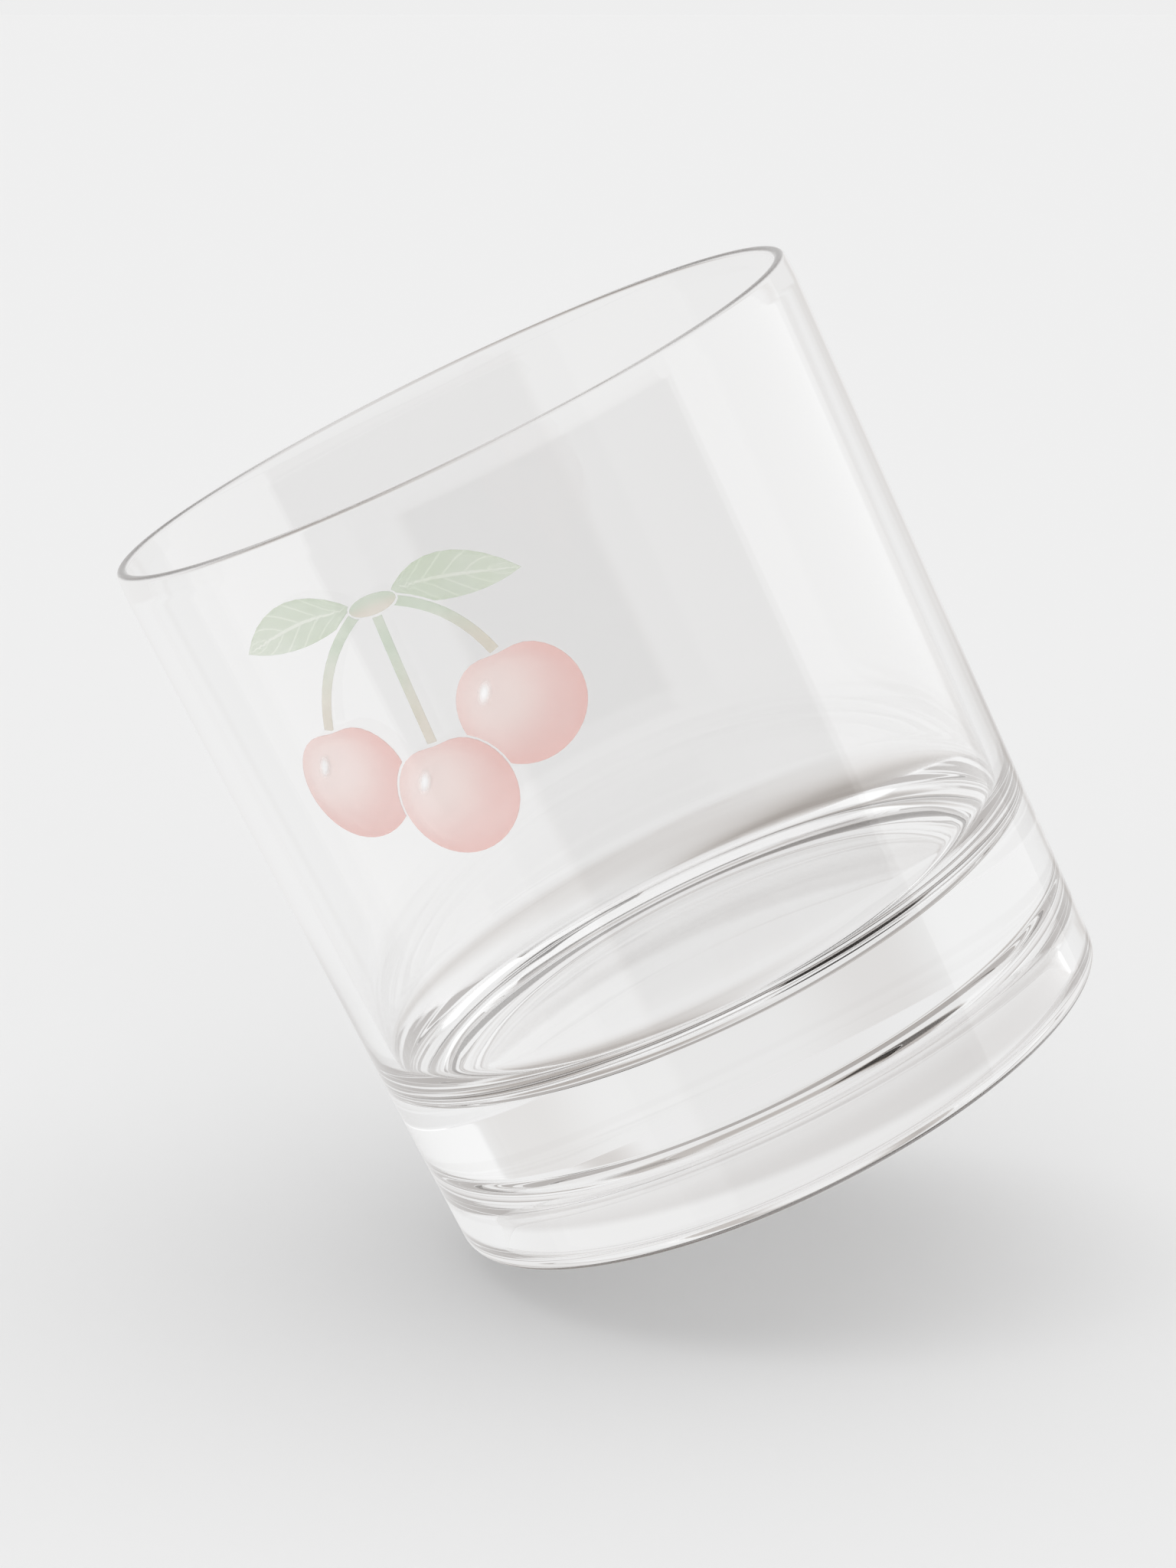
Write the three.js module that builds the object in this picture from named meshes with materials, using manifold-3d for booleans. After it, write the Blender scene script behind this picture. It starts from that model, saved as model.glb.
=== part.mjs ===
// Whisky tumbler: one pressed glass body with a fruit sprig fired on its wall in thin enamel.
// Millimetres, +Z up the glass's axis, origin at the middle of the ring foot's underside.
import * as THREE from "three";
import { mergeVertices } from "three/addons/utils/BufferGeometryUtils.js";
import Module from "manifold-3d";

const wasm = await Module();
wasm.setup();

// Glass body, outside
const glassHeight = 90;
const rimDiameter = 84.5;
const footDiameter = 82.3;
const heelRadius = 1.6;

// Glass body, inside
const lipThickness = 1.7;
const lowerWallThickness = 2.35;
const cavityCornerRadius = 6.8;

// Base: a solid disc over a hollow, which leaves a ring foot
const baseThickness = 10.35;
const hollowDepth = 9.8;
const hollowCornerRadius = 5.6;
const hollowDraft = 1.2;
const footWidth = 5.2;
const footInnerRound = 2.6;

// Enamel films, which lie on the wall in two layers
const enamelThickness = 0.15;
const enamelClearance = 0.1;
const enamelGap = 0.3;

// The sprig: its middle on the wall, and places in it to the right of and above that middle
const sprigBelowRim = 23.5;
const sprigBearing = -115;
const fruitRadius = 6.7;
const fruitDimple = 0.9;
const leftFruit = { right: -10.4, up: -4.2 };
const middleFruit = { right: 0.6, up: -9.2 };
const rightFruit = { right: 11.2, up: -2.6 };
const knot = { right: 1.6, up: 13.2 };
const knotLength = 5.6;
const knotWidth = 2.2;
const stemWidth = 1.1;
const stemSpread = 1.45;
const stemBow = 2.2;
const leftLeafTip = { right: -15.8, up: 12.6 };
const rightLeafTip = { right: 17.2, up: 10.4 };
const leafWidth = 7;
const leafLift = 1.6;
const spotLength = 3.6;
const spotWidth = 1.7;
const spotTilt = 35;

// Fineness of the round faces
const turnSteps = 96;
const arcStep = THREE.MathUtils.degToRad(11.25);
const outlineSteps = 40;
const curveSteps = 10;

const rimRadius = rimDiameter / 2;
const footRadius = footDiameter / 2;
const cavityFloorHeight = hollowDepth + baseThickness;
const sprigHeight = glassHeight - sprigBelowRim;

function wallRadius(height) {
  return THREE.MathUtils.lerp(footRadius, rimRadius, height / glassHeight);
}

// A profile of straight runs whose corners are rounded by tangent arcs: each corner is [r, z, radius].
function roundedProfile(corners) {
  const places = corners.map(([r, z]) => new THREE.Vector2(r, z));
  return corners.flatMap(([, , radius], index) => {
    const corner = places[index];
    if (!radius) return [corner];
    const back = places[index - 1].clone().sub(corner).normalize();
    const ahead = places[index + 1].clone().sub(corner).normalize();
    const halfAngle = Math.acos(THREE.MathUtils.clamp(back.dot(ahead), -1, 1)) / 2;
    const middle = back.clone().add(ahead).normalize().multiplyScalar(radius / Math.sin(halfAngle)).add(corner);
    const start = back.multiplyScalar(radius / Math.tan(halfAngle)).add(corner).sub(middle);
    const end = ahead.multiplyScalar(radius / Math.tan(halfAngle)).add(corner).sub(middle);
    const turn = Math.atan2(start.cross(end), start.dot(end));
    const steps = Math.ceil(Math.abs(turn) / arcStep);
    return Array.from({ length: steps + 1 }, (_, step) =>
      start.clone().rotateAround(new THREE.Vector2(), (turn * step) / steps).add(middle));
  });
}

// A solid turned about Z from a profile of radius and height.
function turned(profile) {
  return new THREE.LatheGeometry(profile, turnSteps).rotateX(Math.PI / 2);
}

function glassBody() {
  const lipRound = lipThickness * 0.48;
  const hollowMouth = footRadius - footWidth;
  return turned(roundedProfile([
    [0, hollowDepth, 0],
    [hollowMouth - hollowDraft, hollowDepth, hollowCornerRadius],
    [hollowMouth, 0, footInnerRound],
    [footRadius, 0, heelRadius],
    [rimRadius, glassHeight, lipRound],
    [rimRadius - lipThickness, glassHeight, lipRound],
    [wallRadius(cavityFloorHeight) - lowerWallThickness, cavityFloorHeight, cavityCornerRadius],
    [0, cavityFloorHeight, 0],
  ]));
}

// Closed geometry to a solid that can be cut, and back
function toSolid(geometry) {
  const bare = geometry.clone();
  bare.deleteAttribute("normal");
  bare.deleteAttribute("uv");
  const merged = mergeVertices(bare);
  return new wasm.Manifold(new wasm.Mesh({
    numProp: 3,
    vertProperties: new Float32Array(merged.attributes.position.array),
    triVerts: new Uint32Array(merged.index.array),
  }));
}

function toGeometry(solid) {
  const { vertProperties, triVerts } = solid.getMesh();
  const geometry = new THREE.BufferGeometry();
  geometry.setAttribute("position", new THREE.BufferAttribute(vertProperties, 3));
  geometry.setIndex(new THREE.BufferAttribute(triVerts, 1));
  geometry.computeVertexNormals();
  return geometry;
}

// A thin sleeve that follows the wall from heel to lip. Layer 0 lies on the glass, layer 1 on layer 0.
function enamelSleeve(layer) {
  const inner = enamelClearance + layer * (enamelThickness + enamelClearance);
  const outer = inner + enamelThickness;
  const low = heelRadius;
  const high = glassHeight - lipThickness;
  return toSolid(turned([
    new THREE.Vector2(wallRadius(low) + inner, low),
    new THREE.Vector2(wallRadius(low) + outer, low),
    new THREE.Vector2(wallRadius(high) + outer, high),
    new THREE.Vector2(wallRadius(high) + inner, high),
    new THREE.Vector2(wallRadius(low) + inner, low),
  ]));
}

// A flat outline, pushed out from the axis through the wall at the sprig's bearing
function punch(points) {
  const bearing = THREE.MathUtils.degToRad(sprigBearing);
  const toRight = new THREE.Vector3(-Math.sin(bearing), Math.cos(bearing), 0);
  const outwards = new THREE.Vector3(Math.cos(bearing), Math.sin(bearing), 0);
  const place = new THREE.Matrix4().makeBasis(toRight, new THREE.Vector3(0, 0, 1), outwards);
  place.setPosition(0, 0, sprigHeight);
  const prism = new THREE.ExtrudeGeometry(new THREE.Shape(points), { depth: rimDiameter, bevelEnabled: false });
  return toSolid(prism.applyMatrix4(place));
}

// A round fruit, dented where its stem goes in
function fruitOutline(fruit, grow = 0) {
  return Array.from({ length: outlineSteps }, (_, step) => {
    const angle = (2 * Math.PI * step) / outlineSteps;
    const fromTop = Math.atan2(Math.cos(angle), Math.sin(angle));
    const reach = fruitRadius + grow - fruitDimple * Math.exp(-((fromTop / 0.4) ** 2));
    return new THREE.Vector2(fruit.right + reach * Math.cos(angle), fruit.up + reach * Math.sin(angle));
  });
}

// The light on a fruit's upper left shoulder, as a tilted oval
function spotOutline(fruit) {
  const middle = new THREE.Vector2(fruit.right - fruitRadius * 0.42, fruit.up + fruitRadius * 0.38);
  return new THREE.EllipseCurve(
    middle.x, middle.y, spotWidth / 2, spotLength / 2, 0, 2 * Math.PI, false, THREE.MathUtils.degToRad(-spotTilt),
  ).getPoints(outlineSteps / 2).slice(1);
}

// A band of even width along a curve
function bandOutline(curve, width) {
  const side = (sign) => Array.from({ length: curveSteps + 1 }, (_, step) => {
    const along = step / curveSteps;
    const across = curve.getTangent(along).rotateAround(new THREE.Vector2(), Math.PI / 2);
    return curve.getPoint(along).add(across.multiplyScalar((sign * width) / 2));
  });
  return [...side(-1), ...side(1).reverse()];
}

// A stem from the knot down into a fruit's dent. Its place in the knot is left of, on or right of the middle.
function stemOutline(fruit, side, grow = 0) {
  const top = new THREE.Vector2(knot.right + side * stemSpread, knot.up);
  const foot = new THREE.Vector2(fruit.right, fruit.up + fruitRadius - fruitDimple / 2);
  const bend = top.clone().lerp(foot, 0.5).add(new THREE.Vector2(side * stemBow, stemBow));
  return bandOutline(new THREE.QuadraticBezierCurve(top, bend, foot), stemWidth + 2 * grow);
}

// The knot, as an oval
function knotOutline(grow = 0) {
  return new THREE.EllipseCurve(
    knot.right, knot.up, knotLength / 2 + grow, knotWidth / 2 + grow, 0, 2 * Math.PI, false, 0,
  ).getPoints(outlineSteps / 2).slice(1);
}

// A pointed leaf from the knot to its tip
function leafOutline(tip, side) {
  const base = new THREE.Vector2(knot.right + (side * knotLength) / 3, knot.up);
  const end = new THREE.Vector2(tip.right, tip.up);
  const rise = new THREE.Vector2(0, leafLift + leafWidth / 2);
  const drop = new THREE.Vector2(0, leafLift - leafWidth / 2);
  const edge = (offset) => new THREE.CubicBezierCurve(
    base, base.clone().lerp(end, 0.3).add(offset), base.clone().lerp(end, 0.7).add(offset), end,
  ).getPoints(curveSteps);
  return [...edge(rise), ...edge(drop).reverse().slice(1, -1)];
}

// Finishes
const clearGlass = new THREE.MeshStandardMaterial({
  color: 0xf3f6f5, roughness: 0.02, metalness: 0, transparent: true, opacity: 0.3,
});
const coralEnamel = new THREE.MeshStandardMaterial({ color: 0xe8bdb4, roughness: 0.35, metalness: 0 });
const paleEnamel = new THREE.MeshStandardMaterial({ color: 0xf8eeec, roughness: 0.35, metalness: 0 });
const stemEnamel = new THREE.MeshStandardMaterial({ color: 0xc2cdb2, roughness: 0.35, metalness: 0 });
const leafEnamel = new THREE.MeshStandardMaterial({ color: 0xbfd0b8, roughness: 0.35, metalness: 0 });

// The sprig's areas, from the front one to the back one. Each stops short of those in front of it.
const areas = [
  ["middle_fruit_enamel", coralEnamel, (grow) => fruitOutline(middleFruit, grow)],
  ["left_fruit_enamel", coralEnamel, (grow) => fruitOutline(leftFruit, grow)],
  ["right_fruit_enamel", coralEnamel, (grow) => fruitOutline(rightFruit, grow)],
  ["knot_enamel", stemEnamel, (grow) => knotOutline(grow)],
  ["middle_stem_enamel", stemEnamel, (grow) => stemOutline(middleFruit, 0, grow)],
  ["left_stem_enamel", stemEnamel, (grow) => stemOutline(leftFruit, -1, grow)],
  ["right_stem_enamel", stemEnamel, (grow) => stemOutline(rightFruit, 1, grow)],
  ["left_leaf_enamel", leafEnamel, () => leafOutline(leftLeafTip, -1)],
  ["right_leaf_enamel", leafEnamel, () => leafOutline(rightLeafTip, 1)],
];
const spots = [
  ["left_fruit_light_enamel", leftFruit],
  ["middle_fruit_light_enamel", middleFruit],
  ["right_fruit_light_enamel", rightFruit],
];

function namedMesh(name, geometry, material) {
  const mesh = new THREE.Mesh(geometry, material);
  mesh.name = name;
  return mesh;
}

function sprig() {
  const group = new THREE.Group();
  const colourLayer = enamelSleeve(0);
  const lightLayer = enamelSleeve(1);
  areas.forEach(([name, material, outline], index) => {
    const inFront = areas.slice(0, index).map(([, , other]) => punch(other(enamelGap)));
    const film = inFront.reduce((rest, front) => rest.subtract(front), colourLayer.intersect(punch(outline(0))));
    group.add(namedMesh(name, toGeometry(film), material));
  });
  spots.forEach(([name, fruit]) => {
    group.add(namedMesh(name, toGeometry(lightLayer.intersect(punch(spotOutline(fruit)))), paleEnamel));
  });
  return group;
}

const whiskyGlass = new THREE.Group();
whiskyGlass.add(namedMesh("glass_body", glassBody(), clearGlass), sprig());

export default whiskyGlass;
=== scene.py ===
import math

import bmesh
import bpy
from mathutils import Matrix, Vector


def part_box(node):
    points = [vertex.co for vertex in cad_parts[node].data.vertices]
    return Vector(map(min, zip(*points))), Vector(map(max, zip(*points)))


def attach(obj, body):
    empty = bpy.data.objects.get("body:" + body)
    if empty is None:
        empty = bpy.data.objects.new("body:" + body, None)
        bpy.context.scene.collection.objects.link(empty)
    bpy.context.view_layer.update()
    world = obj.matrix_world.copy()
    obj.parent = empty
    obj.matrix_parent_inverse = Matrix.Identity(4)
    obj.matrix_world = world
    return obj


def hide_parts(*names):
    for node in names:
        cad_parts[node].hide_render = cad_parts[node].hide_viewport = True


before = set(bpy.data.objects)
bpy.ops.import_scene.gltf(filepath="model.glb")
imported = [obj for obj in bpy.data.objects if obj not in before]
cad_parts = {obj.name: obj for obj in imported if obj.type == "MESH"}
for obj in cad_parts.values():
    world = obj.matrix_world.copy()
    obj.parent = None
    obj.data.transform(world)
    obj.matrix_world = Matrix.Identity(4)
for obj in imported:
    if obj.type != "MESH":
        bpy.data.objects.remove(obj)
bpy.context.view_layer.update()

mm = 0.001
scene = bpy.context.scene
glassLow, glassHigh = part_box("glass_body")
glassMiddle = (glassLow + glassHigh) / 2


# Node maths as plain expressions: a Socket holds one output, and an operator on it adds a Math node
class Socket:
    def __init__(self, bench, output):
        self.bench = bench
        self.output = output

    def __add__(self, other):
        return self.bench.maths("ADD", self, other)

    def __radd__(self, other):
        return self.bench.maths("ADD", other, self)

    def __sub__(self, other):
        return self.bench.maths("SUBTRACT", self, other)

    def __rsub__(self, other):
        return self.bench.maths("SUBTRACT", other, self)

    def __mul__(self, other):
        return self.bench.maths("MULTIPLY", self, other)

    def __rmul__(self, other):
        return self.bench.maths("MULTIPLY", other, self)

    def __truediv__(self, other):
        return self.bench.maths("DIVIDE", self, other)

    def __rtruediv__(self, other):
        return self.bench.maths("DIVIDE", other, self)

    def __mod__(self, other):
        return self.bench.maths("FLOORED_MODULO", self, other)

    def __rmod__(self, other):
        return self.bench.maths("FLOORED_MODULO", other, self)

    def __abs__(self):
        return self.bench.maths("ABSOLUTE", self)


# One node on a bench, whose outputs come back as Sockets
class Placed:
    def __init__(self, bench, node):
        self.bench = bench
        self.node = node

    def out(self, name=0):
        return Socket(self.bench, self.node.outputs[name])


# A node tree to build on, for materials, the world and geometry alike
class Bench:
    def __init__(self, tree):
        self.tree = tree
        tree.nodes.clear()

    def add(self, kind, settings=None, sockets=None):
        node = self.tree.nodes.new(kind)
        for name, value in (settings or {}).items():
            if name == "choices":
                while len(node.index_switch_items) < value:
                    node.index_switch_items.new()
            else:
                setattr(node, name, value)
        for name, value in (sockets or {}).items():
            if isinstance(value, Socket):
                self.tree.links.new(value.output, node.inputs[name])
            else:
                node.inputs[name].default_value = value
        return Placed(self, node)

    def maths(self, operation, *values):
        return self.add("ShaderNodeMath", {"operation": operation}, dict(enumerate(values))).out()

    # 0 below start, 1 above end, smooth between
    def rise(self, value, start, end):
        settings = {"interpolation_type": "SMOOTHSTEP"}
        sockets = {"Value": value, "From Min": start, "From Max": end}
        return self.add("ShaderNodeMapRange", settings, sockets).out("Result")

    def blend(self, factor, low, high):
        return self.add("ShaderNodeMix", {"data_type": "RGBA"}, {0: factor, 6: low, 7: high}).out(2)

    def point(self, x, y, z):
        return self.add("ShaderNodeCombineXYZ", None, {0: x, 1: y, 2: z}).out()


def newMaterial(name):
    material = bpy.data.materials.new(name)
    material.use_nodes = True
    return material, Bench(material.node_tree)


def newObject(name, mesh):
    piece = bpy.data.objects.new(name, mesh)
    scene.collection.objects.link(piece)
    return piece


# The camera: how the glass was seen, with the frame turned until the glass leans
view = {
    "distance": 437.67 * mm,
    "elevation": 12.901,
    "roll": -26.104,
    "aimRight": -3.243 * mm,
    "aimUp": -3.402 * mm,
    "lens": 86.21,
}


def makeCamera():
    elevation = math.radians(view["elevation"])
    roll = math.radians(view["roll"])
    back = Vector((0, -math.cos(elevation), math.sin(elevation)))
    level = Vector((1, 0, 0))
    upright = back.cross(level)
    right = math.cos(roll) * level + math.sin(roll) * upright
    up = back.cross(right)
    place = glassMiddle + view["distance"] * back + view["aimRight"] * right + view["aimUp"] * up
    data = bpy.data.cameras.new("camera")
    data.lens = view["lens"]
    camera = bpy.data.objects.new("camera", data)
    camera.matrix_world = Matrix.Translation(place) @ Matrix((right, up, back)).transposed().to_4x4()
    scene.collection.objects.link(camera)
    scene.camera = camera
    print("camera placed")
    return right, up, back


# The stage: a floor level with the picture, just under the glass's lowest edge
stage = {
    "pitch": 12.0,
    "hover": 3 * mm,
    "size": 40.0,
    "floorColour": 0.84,
    "backdrop": 0.858,
    "shadowFill": 0.26,
    "lampShare": 0.3,
    "lampSpread": 80,
    "fill": 0.3,
    "fillSpread": 60,
}


def grey(level):
    return (level, level, level, 1)


def floorMaterial():
    material, bench = newMaterial("paleFloor")
    path = bench.add("ShaderNodeLightPath")
    backfacing = bench.add("ShaderNodeNewGeometry").out("Backfacing")
    paint = bench.add("ShaderNodeBsdfDiffuse", None, {"Color": grey(stage["floorColour"])}).out()
    glow = bench.add("ShaderNodeEmission", None, {"Color": grey(stage["backdrop"]), "Strength": 1.0}).out()
    paint = bench.add("ShaderNodeMixShader", None, {0: stage["shadowFill"], 1: paint, 2: glow}).out()
    clear = bench.add("ShaderNodeBsdfTransparent").out()
    inGlass = bench.maths("MAXIMUM", path.out("Is Glossy Ray"), path.out("Is Transmission Ray"))
    hidden = bench.maths("MAXIMUM", backfacing, inGlass)
    mix = bench.add("ShaderNodeMixShader", None, {0: hidden, 1: paint, 2: clear}).out()
    bench.add("ShaderNodeOutputMaterial", None, {"Surface": mix})
    return material


def makeFloor(right, up, back):
    pitch = math.radians(stage["pitch"])
    normal = (math.cos(pitch) * up + math.sin(pitch) * back).normalized()
    lowest = min(normal.dot(vertex.co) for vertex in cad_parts["glass_body"].data.vertices)
    middle = normal * (lowest - stage["hover"])
    ahead = normal.cross(right)
    half = stage["size"] / 2
    corners = [middle + half * (a * right + b * ahead) for a, b in ((-1, -1), (1, -1), (1, 1), (-1, 1))]
    mesh = bpy.data.meshes.new("floor")
    mesh.from_pydata(corners, [], [(0, 1, 2, 3)])
    mesh.materials.append(floorMaterial())
    newObject("floor", mesh)
    print("floor laid")
    return normal


# Broad lamps, which the glass neither mirrors nor passes on
def makeLamp(name, towards, level, spread):
    data = bpy.data.lights.new(name, "SUN")
    data.angle = math.radians(spread)
    data.energy = math.pi * level
    lamp = bpy.data.objects.new(name, data)
    lamp.matrix_world = towards.to_track_quat("Z", "Y").to_matrix().to_4x4()
    lamp.visible_glossy = False
    lamp.visible_transmission = False
    scene.collection.objects.link(lamp)


# One lamp over the floor draws the soft shadow, one at the camera lights what faces it
def makeLamps(normal, back):
    full = stage["backdrop"] / stage["floorColour"]
    makeLamp("overhead", normal, stage["lampShare"] * full, stage["lampSpread"])
    makeLamp("fill", back, stage["fill"], stage["fillSpread"])
    return full * (1 - stage["lampShare"]) - stage["fill"] * normal.dot(back)


# The studio round the glass: panels by bearing and height, in degrees, each with its middle and half its
# extent. light is a panel's brightness, and where a panel has a second one, through, light is what the
# glass mirrors once, and through is what is seen straight through it or in many mirrorings
studio = {
    "room": 0.86,
    "shade": (1, 0.85, 0.74, 1),
    "panels": {
        "back": {"bearing": (117, 62), "height": (0, 90), "edge": 6, "light": 0.835},
        "backLeft": {"bearing": (145, 42), "height": (0, 24), "edge": 6, "light": 0.87},
        "bandLeft": {"bearing": (58, 9), "height": (19, 9), "edge": 6, "light": 0.755},
        "bandRight": {"bearing": (104, 7), "height": (19, 9), "edge": 6, "light": 0.765},
        "gap": {"bearing": (68, 3.5), "height": (-14, 14), "edge": 3, "light": 0.65},
        "front": {
            "bearing": (-70, 48), "height": (-12.5, 9.5), "edge": 3, "light": 0.1, "through": 0.84},
        "leftPanel": {
            "bearing": (-161.5, 27.5), "height": (0, 40), "edge": 0.5, "light": 1.05, "through": 0.86},
        "rightPanel": {
            "bearing": (9.9, 32.1), "height": (-10, 22), "edge": 0.5, "light": 1.12, "through": 0.86},
        "rightUpper": {"bearing": (14, 34), "height": (30, 20), "edge": 1, "light": 0.95},
        "above": {"bearing": (0, 180), "height": (60, 11), "edge": 4, "light": 0.52},
        "aboveRight": {"bearing": (52, 23), "height": (56, 11), "edge": 3, "light": 0.03},
        "frontLow": {"bearing": (-90, 75), "height": (-58, 32), "edge": 5, "light": 0.98},
        "belowBack": {"bearing": (130, 38), "height": (-45, 17), "edge": 8, "light": 0.42},
        "belowRight": {"bearing": (9, 32), "height": (-66, 17), "edge": 3, "light": 0.02},
    },
}


def makeWorld(even):
    world = bpy.data.worlds.new("studio")
    world.use_nodes = True
    scene.world = world
    bench = Bench(world.node_tree)
    direction = bench.add("ShaderNodeTexCoord").out("Generated")
    parts = bench.add("ShaderNodeSeparateXYZ", None, {0: direction})
    bearing = bench.maths("ARCTAN2", parts.out("Y"), parts.out("X")) * math.degrees(1)
    height = bench.maths("ARCSINE", parts.out("Z")) * math.degrees(1)
    path = bench.add("ShaderNodeLightPath")
    mirroredOnce = bench.maths("COMPARE", path.out("Glossy Depth"), 1, 0)
    level = studio["room"]
    for panel in studio["panels"].values():
        middle, half = panel["bearing"]
        aside = abs((bearing - middle + 180) % 360 - 180) - half
        middle, half = panel["height"]
        aloft = abs(height - middle) - half
        mask = 1 - bench.rise(bench.maths("MAXIMUM", aside, aloft), -panel["edge"], panel["edge"])
        light = panel["light"]
        if "through" in panel:
            light = panel["through"] + mirroredOnce * (light - panel["through"])
        level = level + mask * (light - level)
    seen = path.out("Is Camera Ray") * stage["backdrop"] + path.out("Is Diffuse Ray") * even
    plain = path.out("Is Camera Ray") + path.out("Is Diffuse Ray")
    light = seen + (1 - plain) * level
    colour = bench.blend(plain + (1 - plain) * level / stage["backdrop"], studio["shade"], grey(1))
    shine = bench.add("ShaderNodeBackground", None, {"Color": colour, "Strength": light}).out()
    bench.add("ShaderNodeOutputWorld", None, {"Surface": shine})
    print("studio lit")


# The tumbler, turned from a profile of rounded corners. Its wall narrows a little over a band under the lip,
# and Lip Fullness is the share of the lip's top that each of its two roundings takes
glass = {
    "Height": glassHigh.z,
    "Rim Radius": 42.25 * mm,
    "Foot Radius": 41.15 * mm,
    "Heel Round": 1.6 * mm,
    "Lip": 1.7 * mm,
    "Lip Band": 3 * mm,
    "Lip Draft": 0.2 * mm,
    "Lip Fullness": 0.48,
    "Band Round": 8 * mm,
    "Lower Wall": 2.35 * mm,
    "Cavity Corner": 6.8 * mm,
    "Base Thickness": 10.35 * mm,
    "Hollow Depth": 9.8 * mm,
    "Hollow Corner": 5.6 * mm,
    "Hollow Draft": 1.2 * mm,
    "Foot Width": 5.2 * mm,
    "Foot Inner Round": 2.6 * mm,
    "Straight Step": 2 * mm,
    "Merge Distance": 0.001 * mm,
}
# What stands in for light that would bounce on in the glass past the renderer's limits, by height
endedLight = {
    "baseColour": (1, 0.95, 0.92, 1),
    "wallColour": (1, 0.99, 0.985, 1),
    "base": 0.45,
    "wall": 0.82,
    "lip": 0.15,
    "baseTop": 28 * mm,
    "wallFrom": 45 * mm,
    "lipDepth": 1.5 * mm,
}
# The glass, and the painted shade in its colour: darker at its lip, most at the sides, on its hollow's wall
# and at its heel's edge
glassLook = {
    "refraction": 1.5,
    "clear": (1, 1, 1, 1),
    "lipMiddle": (0.68, 0.66, 0.65, 1),
    "lipSides": (0.1, 0.09, 0.085, 1),
    "lipMiddleTo": 15 * mm,
    "lipSidesFrom": 37 * mm,
    "lipFrom": 0.32 * mm,
    "lipFull": 0.1 * mm,
    "hollow": (0.72, 0.7, 0.69, 1),
    "hollowReach": 39 * mm,
    "hollowFoot": 2.4 * mm,
    "hollowFrom": 3.6 * mm,
    "hollowSlope": 0.05,
    "hollowFull": 4 * mm,
    "hollowTo": 8.5 * mm,
    "heel": (0.1, 0.09, 0.085, 1),
    "heelTop": 0.8 * mm,
    "heelFrom": 39.4 * mm,
}
glassSteps = {"Arc Steps": 22, "Turn Steps": 288}


def glassMaterial():
    material, bench = newMaterial("clearGlass")
    path = bench.add("ShaderNodeLightPath")
    turns, hits = path.out("Glossy Depth"), path.out("Ray Depth")
    lastTurn = bench.maths("GREATER_THAN", turns, scene.cycles.glossy_bounces)
    lastHit = bench.maths("GREATER_THAN", hits, scene.cycles.max_bounces)
    ended = bench.maths("MAXIMUM", lastTurn, lastHit)
    place = bench.add("ShaderNodeTexCoord").out("Object")
    parts = bench.add("ShaderNodeSeparateXYZ", None, {0: place})
    height = parts.out("Z")
    flat = bench.point(parts.out("X"), parts.out("Y"), 0)
    fromAxis = bench.add("ShaderNodeVectorMath", {"operation": "LENGTH"}, {0: flat}).out("Value")
    top = glass["Height"]
    # painted shade: the lip's top is coloured darker, most at its sides, for the dark that the rounded rim
    # mirrors
    inLip = bench.rise(height, top - glassLook["lipFrom"], top - glassLook["lipFull"])
    # painted shade: the wall of the hollow underside is coloured grey, so the base seen through it looks
    # darker
    inside = bench.maths("LESS_THAN", fromAxis, glassLook["hollowReach"])
    inHollow = inside * (1 - bench.rise(height, glassLook["hollowFull"], glassLook["hollowTo"]))
    slanted = height + glassLook["hollowSlope"] * parts.out("X")
    inHollow = inHollow * bench.rise(slanted, glassLook["hollowFoot"], glassLook["hollowFrom"])
    # painted shade: the heel's outer edge near the floor is coloured dark, for a dark line along the bottom
    # edge
    outside = bench.maths("GREATER_THAN", fromAxis, glassLook["heelFrom"])
    inHeel = outside * bench.maths("LESS_THAN", height, glassLook["heelTop"])
    sides = bench.rise(abs(parts.out("X")), glassLook["lipMiddleTo"], glassLook["lipSidesFrom"])
    lipPaintedShade = bench.blend(sides, glassLook["lipMiddle"], glassLook["lipSides"])
    glassColourWithPaintedShade = bench.blend(inLip, glassLook["clear"], lipPaintedShade)
    glassColourWithPaintedShade = bench.blend(inHollow, glassColourWithPaintedShade, glassLook["hollow"])
    glassColourWithPaintedShade = bench.blend(inHeel, glassColourWithPaintedShade, glassLook["heel"])
    upper = bench.rise(height, endedLight["baseTop"], endedLight["wallFrom"])
    light = endedLight["base"] + upper * (endedLight["wall"] - endedLight["base"])
    colour = bench.blend(upper, endedLight["baseColour"], endedLight["wallColour"])
    lip = bench.rise(height, top - endedLight["lipDepth"], top)
    light = light + lip * (endedLight["lip"] - light)
    shader = bench.add("ShaderNodeBsdfPrincipled", None, {
        "Base Color": glassColourWithPaintedShade,
        "Roughness": 0.0,
        "IOR": glassLook["refraction"],
        "Transmission Weight": 1.0,
        "Emission Color": bench.blend(ended * light, grey(0), colour),
        "Emission Strength": 1.0,
    })
    bench.add("ShaderNodeOutputMaterial", None, {"Surface": shader.out()})
    return material


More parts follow.
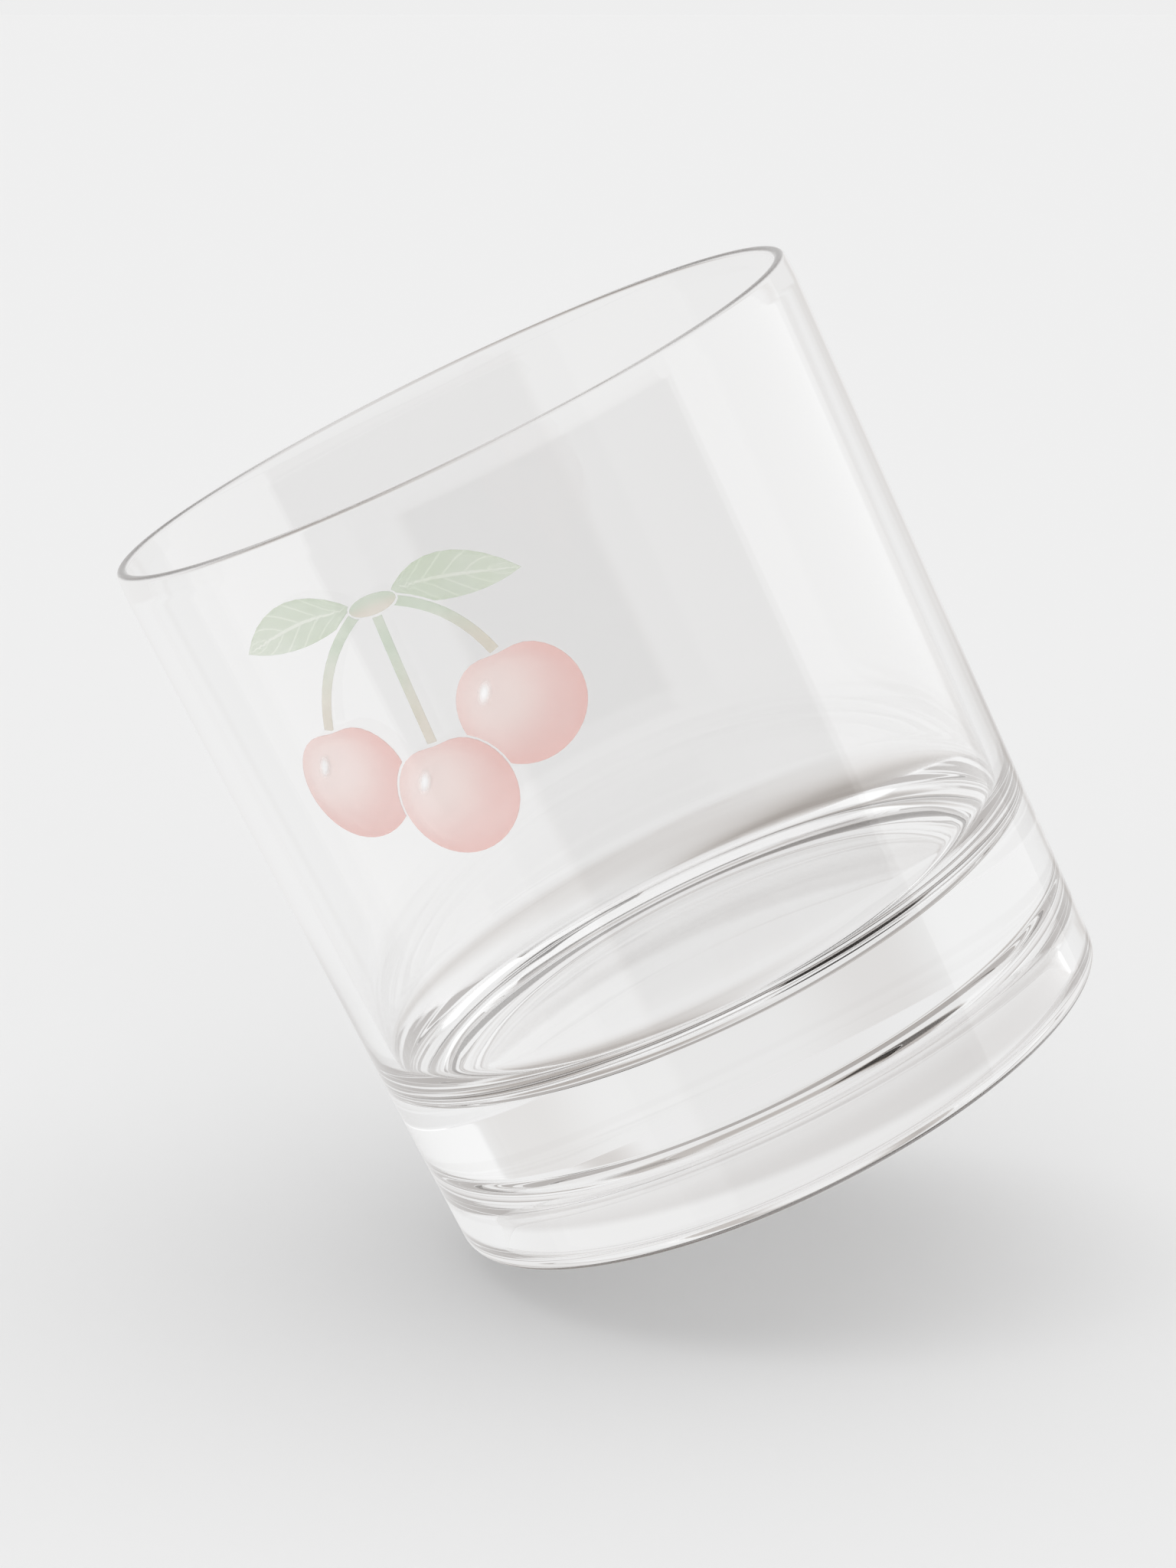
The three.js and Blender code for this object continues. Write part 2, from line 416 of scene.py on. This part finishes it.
def glassTree(material):
    tree = bpy.data.node_groups.new("turnedGlass", "GeometryNodeTree")
    for name in glass:
        tree.interface.new_socket(name=name, in_out="INPUT", socket_type="NodeSocketFloat")
    for name in glassSteps:
        tree.interface.new_socket(name=name, in_out="INPUT", socket_type="NodeSocketInt")
    tree.interface.new_socket(name="Geometry", in_out="OUTPUT", socket_type="NodeSocketGeometry")
    bench = Bench(tree)
    size = bench.add("NodeGroupInput").out
    hollowMouth = size("Foot Radius") - size("Foot Width")
    floorHeight = size("Hollow Depth") + size("Base Thickness")
    lean = (size("Rim Radius") - size("Foot Radius")) / size("Height")
    floorEdge = size("Foot Radius") + lean * floorHeight - size("Lower Wall")
    bandHeight = size("Height") - size("Lip Band")
    lipRound = size("Lip Fullness") * (size("Lip") - 2 * size("Lip Draft"))
    corners = [
        (0, size("Hollow Depth"), 0),
        (hollowMouth - size("Hollow Draft"), size("Hollow Depth"), size("Hollow Corner")),
        (hollowMouth, 0, size("Foot Inner Round")),
        (size("Foot Radius"), 0, size("Heel Round")),
        (size("Rim Radius"), bandHeight, size("Band Round")),
        (size("Rim Radius") - size("Lip Draft"), size("Height"), lipRound),
        (size("Rim Radius") - size("Lip") + size("Lip Draft"), size("Height"), lipRound),
        (size("Rim Radius") - size("Lip"), bandHeight, size("Band Round")),
        (floorEdge, floorHeight, size("Cavity Corner")),
        (0, floorHeight, 0),
    ]
    index = bench.add("GeometryNodeInputIndex").out()
    places = {number + 1: bench.point(r, 0, z) for number, (r, z, rounding) in enumerate(corners)}
    roundings = {number + 1: rounding for number, (r, z, rounding) in enumerate(corners)}
    choice = {"data_type": "VECTOR", "choices": len(corners)}
    place = bench.add("GeometryNodeIndexSwitch", choice, {0: index, **places}).out()
    choice = {"data_type": "FLOAT", "choices": len(corners)}
    rounding = bench.add("GeometryNodeIndexSwitch", choice, {0: index, **roundings}).out()
    line = bench.add("GeometryNodeMeshLine", None, {"Count": len(corners)}).out()
    line = bench.add("GeometryNodeSetPosition", None, {"Geometry": line, "Position": place}).out()
    curve = bench.add("GeometryNodeMeshToCurve", None, {"Mesh": line}).out()
    curve = bench.add("GeometryNodeFilletCurve", {"mode": "POLY"}, {
        "Curve": curve, "Count": size("Arc Steps"), "Radius": rounding, "Limit Radius": False}).out()
    # long straight runs are cut, so that their shading stays true beside the rounded corners
    here = bench.add("GeometryNodeInputPosition").out()
    onwards = bench.add("GeometryNodeOffsetPointInCurve", None, {"Point Index": index, "Offset": 1})
    there = bench.add("GeometryNodeFieldAtIndex", {"data_type": "FLOAT_VECTOR"}, {
        "Index": onwards.out("Point Index"), "Value": here}).out()
    gap = bench.add("ShaderNodeVectorMath", {"operation": "DISTANCE"}, {0: here, 1: there}).out("Value")
    cuts = bench.maths("FLOOR", gap / size("Straight Step"))
    curve = bench.add("GeometryNodeSubdivideCurve", None, {"Curve": curve, "Cuts": cuts}).out()
    # the profile goes round on a grid, one row of its points for each step of the turn
    counts = bench.add("GeometryNodeAttributeDomainSize", {"component": "CURVE"}, {0: curve})
    points = counts.out("Point Count")
    grid = bench.add("GeometryNodeMeshGrid", None, {
        "Vertices X": size("Turn Steps") + 1, "Vertices Y": points}).out()
    along = index % points
    turn = (index - along) / points / size("Turn Steps") * math.tau
    row = bench.add("GeometryNodeSampleIndex", {"data_type": "FLOAT_VECTOR", "domain": "POINT"}, {
        "Geometry": curve, "Value": here, "Index": along}).out()
    row = bench.add("ShaderNodeSeparateXYZ", None, {0: row})
    r, z = row.out("X"), row.out("Z")
    place = bench.point(r * bench.maths("COSINE", turn), r * bench.maths("SINE", turn), z)
    body = bench.add("GeometryNodeSetPosition", None, {"Geometry": grid, "Position": place}).out()
    body = bench.add("GeometryNodeMergeByDistance", None, {
        "Geometry": body, "Distance": size("Merge Distance")}).out()
    body = bench.add("GeometryNodeSetShadeSmooth", None, {"Geometry": body}).out()
    body = bench.add("GeometryNodeRealizeInstances", None, {"Geometry": body}).out()
    body = bench.add("GeometryNodeSetMaterial", None, {"Geometry": body, "Material": material}).out()
    bench.add("NodeGroupOutput", None, {0: body})
    return tree


# Runs a tree with its sizes on an empty mesh and keeps the result as a plain mesh
def grown(name, tree, sizes):
    piece = newObject(name, bpy.data.meshes.new(name))
    modifier = piece.modifiers.new(name, "NODES")
    modifier.node_group = tree
    for socket in tree.interface.items_tree:
        if socket.in_out == "INPUT":
            modifier[socket.identifier] = sizes[socket.name]
    depsgraph = bpy.context.evaluated_depsgraph_get()
    mesh = bpy.data.meshes.new_from_object(piece.evaluated_get(depsgraph))
    piece.modifiers.clear()
    piece.data = mesh
    mesh.name = name
    return piece


def makeGlass():
    piece = grown("glassBody", glassTree(glassMaterial()), {**glass, **glassSteps})
    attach(piece, "root")
    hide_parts("glass_body")
    probe = bmesh.new()
    probe.from_mesh(piece.data)
    volume = probe.calc_volume(signed=True) / (10 * mm) ** 3
    openEdges = sum(not edge.is_manifold for edge in probe.edges)
    print("glass turned,", len(piece.data.polygons), "faces,", volume, "ml,", openEdges, "open edges")
    probe.free()


# The enamel sprig: the frame's films, brought to the round of the wall and painted in washes. A pair in a
# paint is where a change begins and ends, and coverByRim is how much the rim adds to the cover, and so on
sprig = {
    "bearing": -115,
    "cutStep": 1.25,
    "frameFacets": 96,
    "edgeAngle": 40,
    "mergeDistance": 0.0001 * mm,
    "cutDistance": 0.00001 * mm,
    "roughness": 0.4,
    "roughnessByWash": 0.3,
    "washDetail": 1.0,
    "washRoughness": 0.4,
}
fruitPaint = {
    "deep": (0.86, 0.40, 0.34, 1),
    "pale": (0.98, 0.74, 0.68, 1),
    "lightPlace": (0.34, 0.68),
    "glow": (0.1, 0.62),
    "rim": (0.36, 0.5),
    "paleByGlow": 0.8,
    "alpha": 0.33,
    "cover": 0.92,
    "coverByGlow": -0.2,
    "coverByRim": 0.12,
    "byWash": 0.25,
    "washScale": 190,
}
leafPaint = {
    "deep": (0.42, 0.55, 0.32, 1),
    "pale": (0.71, 0.79, 0.56, 1),
    "rib": (0.015, 0.05),
    "veins": 6,
    "veinLean": 3.2,
    "vein": (0.02, 0.1),
    "veinStrength": 0.6,
    "tone": (0.1, 1.0),
    "edge": (0.36, 0.5),
    "paleByLine": 0.55,
    "paleByTone": 0.4,
    "paleByWash": 0.6,
    "alpha": 0.25,
    "cover": 0.95,
    "coverByLine": -0.35,
    "coverByEdge": 0.2,
    "coverByWash": 0.7,
    "washScale": 260,
    "broadPart": (0.3, 0.7),
    "thinEnd": 0.02,
}
stemPaint = {
    "low": (0.66, 0.56, 0.40, 1),
    "high": (0.46, 0.58, 0.38, 1),
    "change": (0.1, 0.8),
    "changeByWash": 0.5,
    "alpha": 0.27,
    "coverByWash": 0.6,
    "washScale": 320,
}
spotPaint = {
    "middle": (1.0, 1.0, 1.0, 1),
    "edge": (1.0, 0.9, 0.87, 1),
    "change": (0.2, 1.0),
    "alpha": 0.8,
    "fade": (0.1, 1.0),
    "coverByWash": 0.4,
    "halfWidth": 0.85 * mm,
    "halfLength": 1.8 * mm,
    "tilt": 35,
    "washScale": 320,
}


# A painted film: its colour and cover come from a function of the film's own place on the sprig
def enamelMaterial(name, paint, colours):
    material, bench = newMaterial(name)
    uv = bench.add("ShaderNodeUVMap", {"uv_map": "sprig"}).out()
    parts = bench.add("ShaderNodeSeparateXYZ", None, {0: uv})
    place = bench.add("ShaderNodeTexCoord").out("Object")
    wash = bench.add("ShaderNodeTexNoise", None, {
        "Vector": place,
        "Scale": paint["washScale"],
        "Detail": sprig["washDetail"],
        "Roughness": sprig["washRoughness"],
    }).out() - 0.5
    colour, cover = colours(bench, parts.out("X"), parts.out("Y"), wash)
    shader = bench.add("ShaderNodeBsdfPrincipled", None, {
        "Base Color": colour,
        "Roughness": sprig["roughness"] + sprig["roughnessByWash"] * wash,
        "Alpha": cover,
    })
    bench.add("ShaderNodeOutputMaterial", None, {"Surface": shader.out()})
    return material


# 0 at a place on the film, growing away from it
def distanceFrom(bench, across, up, place):
    there = bench.point(across - place[0], up - place[1], 0)
    return bench.add("ShaderNodeVectorMath", {"operation": "LENGTH"}, {0: there}).out("Value")


def fruitColours(bench, across, up, wash):
    paint = fruitPaint
    glow = 1 - bench.rise(distanceFrom(bench, across, up, paint["lightPlace"]), *paint["glow"])
    rim = bench.rise(distanceFrom(bench, across, up, (0.5, 0.5)), *paint["rim"])
    washed = paint["byWash"] * wash
    colour = bench.blend(paint["paleByGlow"] * glow + washed, paint["deep"], paint["pale"])
    cover = paint["cover"] + paint["coverByGlow"] * glow + paint["coverByRim"] * rim + washed
    return colour, paint["alpha"] * cover


def leafColours(bench, along, across, wash):
    paint = leafPaint
    fromRib = abs(across - 0.5)
    rib = 1 - bench.rise(fromRib, *paint["rib"])
    stripe = abs((along * paint["veins"] - fromRib * paint["veinLean"]) % 1 - 0.5)
    vein = paint["veinStrength"] * (1 - bench.rise(stripe, *paint["vein"]))
    line = bench.maths("MAXIMUM", rib, vein)
    tone = bench.rise(along, *paint["tone"])
    edge = bench.rise(fromRib, *paint["edge"])
    pale = paint["paleByLine"] * line + paint["paleByTone"] * tone + paint["paleByWash"] * wash
    colour = bench.blend(pale, paint["deep"], paint["pale"])
    cover = paint["cover"] + paint["coverByLine"] * line + paint["coverByEdge"] * edge
    return colour, paint["alpha"] * (cover + paint["coverByWash"] * wash)


def stemColours(bench, across, up, wash):
    paint = stemPaint
    change = bench.rise(up, *paint["change"]) + paint["changeByWash"] * wash
    colour = bench.blend(change, paint["low"], paint["high"])
    return colour, paint["alpha"] * (1 + paint["coverByWash"] * wash)


# A light spot fades from its middle to nothing at its edge, which is a leaning oval
def spotColours(bench, across, up, wash):
    paint = spotPaint
    tilt = math.radians(paint["tilt"])
    wide, long = paint["halfWidth"], paint["halfLength"]
    boxWide = 2 * math.hypot(wide * math.cos(tilt), long * math.sin(tilt))
    boxHigh = 2 * math.hypot(wide * math.sin(tilt), long * math.cos(tilt))
    right, rise = (across - 0.5) * boxWide, (up - 0.5) * boxHigh
    aside = (right * math.cos(tilt) - rise * math.sin(tilt)) / wide
    along = (right * math.sin(tilt) + rise * math.cos(tilt)) / long
    away = distanceFrom(bench, aside, along, (0, 0))
    colour = bench.blend(bench.rise(away, *paint["change"]), paint["middle"], paint["edge"])
    fade = 1 - bench.rise(away, *paint["fade"])
    return colour, paint["alpha"] * fade * (1 + paint["coverByWash"] * wash)


# A vertex's place on the sprig, to the right of its bearing and up the wall
def sprigPlace(vertex):
    bearing = math.radians(sprig["bearing"])
    return vertex.co.y * math.cos(bearing) - vertex.co.x * math.sin(bearing), vertex.co.z


# A film's own places, 0 to 1 across and up its box
def boxPlaces(places):
    low = [min(values) for values in zip(*places)]
    high = [max(values) for values in zip(*places)]
    return [[(value - a) / (b - a) for value, a, b in zip(place, low, high)] for place in places]


# A leaf's own places: 0 to 1 from base to tip, and 0 to 1 from its lower edge to its upper edge
def leafPlaces(places):
    base, tip = sorted((min(places), max(places)), key=lambda end: abs(end[0]))
    alongs = [(right - base[0]) / (tip[0] - base[0]) for right, up in places]
    lifts = [
        (up - base[1] - along * (tip[1] - base[1])) / max(along * (1 - along), leafPaint["thinEnd"])
        for along, (right, up) in zip(alongs, places)
    ]
    start, end = leafPaint["broadPart"]
    broad = [lift for along, lift in zip(alongs, lifts) if start < along < end]
    low, high = min(broad), max(broad)
    return [(along, min(max((lift - low) / (high - low), 0), 1)) for along, lift in zip(alongs, lifts)]


# Copies a film of the frame, cuts it finely round the axis and brings its facets to the round of the wall
def roundedFilm(node):
    film = bmesh.new()
    film.from_mesh(node.data)
    bmesh.ops.remove_doubles(film, verts=film.verts, dist=sprig["mergeDistance"])
    bearings = [math.degrees(math.atan2(vertex.co.y, vertex.co.x)) for vertex in film.verts]
    first = math.ceil(min(bearings) / sprig["cutStep"])
    last = math.floor(max(bearings) / sprig["cutStep"])
    for cut in range(first, last + 1):
        angle = math.radians(cut * sprig["cutStep"])
        everything = film.verts[:] + film.edges[:] + film.faces[:]
        normal = (-math.sin(angle), math.cos(angle), 0)
        bmesh.ops.bisect_plane(
            film, geom=everything, dist=sprig["cutDistance"], plane_co=(0, 0, 0), plane_no=normal)
    facet = math.tau / sprig["frameFacets"]
    for vertex in film.verts:
        offset = math.atan2(vertex.co.y, vertex.co.x) % facet - facet / 2
        out = math.cos(offset) / math.cos(facet / 2)
        vertex.co.x *= out
        vertex.co.y *= out
    return film


def makeFilm(name, node, material, places, slotName):
    film = roundedFilm(node)
    layer = film.loops.layers.uv.new("sprig")
    spots = dict(zip(film.verts, places([sprigPlace(vertex) for vertex in film.verts])))
    for face in film.faces:
        face.smooth = True
        for loop in face.loops:
            loop[layer].uv = spots[loop.vert]
    for edge in film.edges:
        edge.smooth = edge.calc_face_angle(0) < math.radians(sprig["edgeAngle"])
    mesh = bpy.data.meshes.new(name)
    film.to_mesh(mesh)
    film.free()
    mesh.materials.append(material)
    piece = newObject(name, mesh)
    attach(piece, "root")
    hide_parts(node.name)


def makeSprig():
    stemMaterial = enamelMaterial("stemEnamel", stemPaint, stemColours)
    kinds = {
        "fruit_enamel": (enamelMaterial("fruitEnamel", fruitPaint, fruitColours), boxPlaces, "coral_enamel"),
        "stem_enamel": (stemMaterial, boxPlaces, "stem_enamel"),
        "knot_enamel": (stemMaterial, boxPlaces, "stem_enamel"),
        "leaf_enamel": (enamelMaterial("leafEnamel", leafPaint, leafColours), leafPlaces, "leaf_enamel"),
        "light_enamel": (enamelMaterial("spotEnamel", spotPaint, spotColours), boxPlaces, "pale_enamel"),
    }
    films = [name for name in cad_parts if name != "glass_body"]
    for name in films:
        kind = next(ending for ending in kinds if name.endswith(ending))
        first, *others = name.split("_")
        makeFilm(first + "".join(word.title() for word in others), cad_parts[name], *kinds[kind])
    print("sprig painted,", len(films), "films")


scene.view_settings.view_transform = "Standard"
right, up, back = makeCamera()
floorNormal = makeFloor(right, up, back)
makeWorld(makeLamps(floorNormal, back))
makeGlass()
makeSprig()
